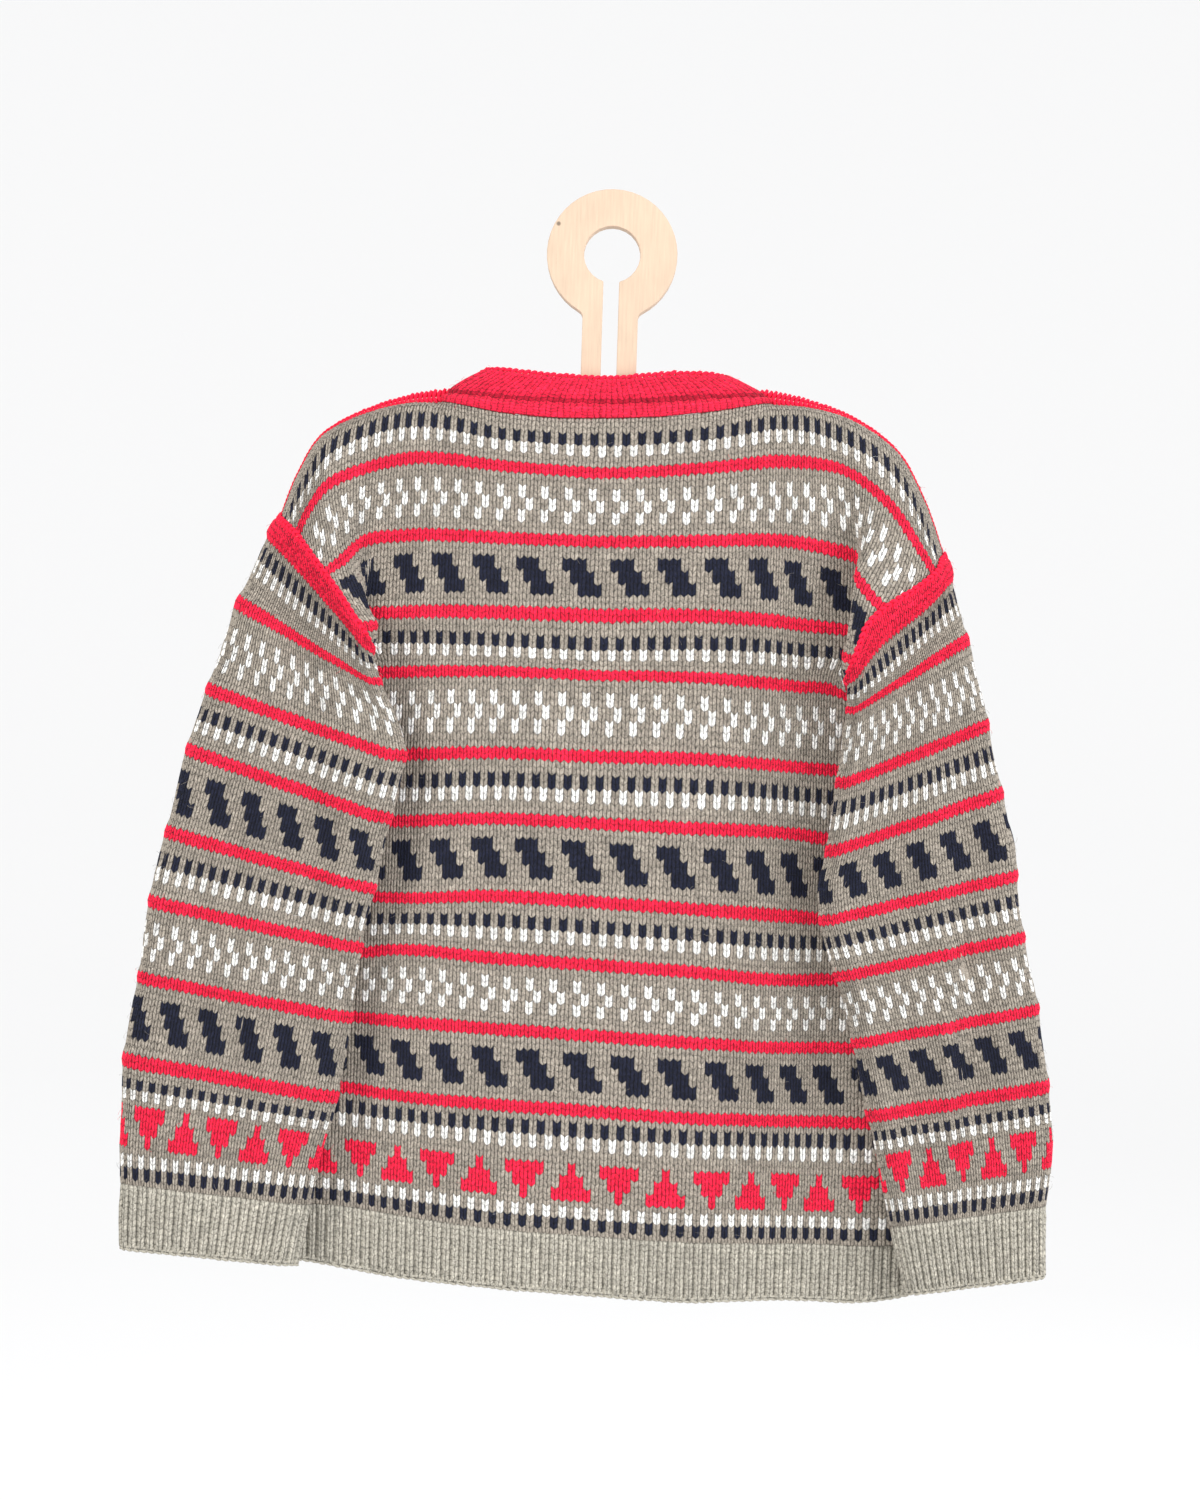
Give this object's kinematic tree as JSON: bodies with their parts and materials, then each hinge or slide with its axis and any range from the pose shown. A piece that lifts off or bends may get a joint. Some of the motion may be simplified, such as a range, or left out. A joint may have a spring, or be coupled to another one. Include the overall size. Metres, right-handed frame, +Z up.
{
  "type": "wool sweater on a flat wooden hanger",
  "caption": "Knitted pullover with patterned bands, ribbed hem, cuffs and neckband, hanging open-necked from a flat keyhole hanger by the ring above its neck",
  "frame": {"origin": "the top of the hole in the hanger's ring, midway through its thickness, where a pin holds the object up", "axes": "+X to the garment's right as seen from behind it, +Z up, -Y out of the back panel, towards the viewer"},
  "size_m": [0.4649, 0.0522, 0.5583],
  "materials": {
    "grey_knit": "matte knitted wool",
    "grey_rib": "matte ribbed wool",
    "red_rib": "matte ribbed wool",
    "birch": "smooth bare birch plywood"
  },
  "bodies": {
    "root": {"back_panel": "grey_knit", "front_panel": "grey_knit", "sleeve_left": "grey_knit", "sleeve_right": "grey_knit", "hem_rib_back": "grey_rib", "hem_rib_front": "grey_rib", "cuff_left": "grey_rib", "cuff_right": "grey_rib", "neckband": "red_rib", "hanger": "birch"}
  },
  "joints": []
}
